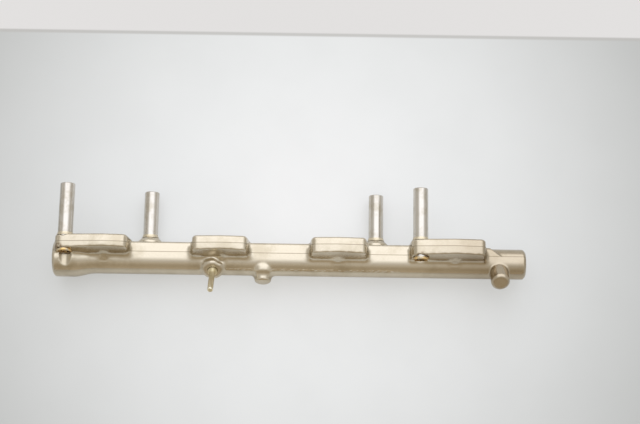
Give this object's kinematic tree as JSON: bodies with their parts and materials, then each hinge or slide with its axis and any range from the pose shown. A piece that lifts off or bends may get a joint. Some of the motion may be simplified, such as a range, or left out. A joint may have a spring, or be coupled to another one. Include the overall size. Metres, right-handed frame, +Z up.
{
  "type": "fuel rail",
  "caption": "Forged high-pressure fuel rail with injector cup lugs, long brazed bolt sleeves, a clip stud and a threaded port at each end.",
  "frame": {"origin": "bottom centre of the bounding box, with the rail lying on the two bosses at its back", "axes": "+X along the gallery toward the inlet, +Y toward the cylinder head along the bolt sleeves, +Z up"},
  "size_m": [0.3672, 0.0852, 0.0492],
  "materials": {
    "forging": "satin nickel-toned plating over a forged skin",
    "sleeve": "smooth drawn tube, nickel-toned",
    "stud": "bright turned pin"
  },
  "bodies": {
    "root": {"rail_body": "forging", "bolt_sleeve_1": "sleeve", "bolt_sleeve_2": "sleeve", "bolt_sleeve_3": "sleeve", "bolt_sleeve_4": "sleeve", "clip_stud": "stud"}
  },
  "joints": []
}
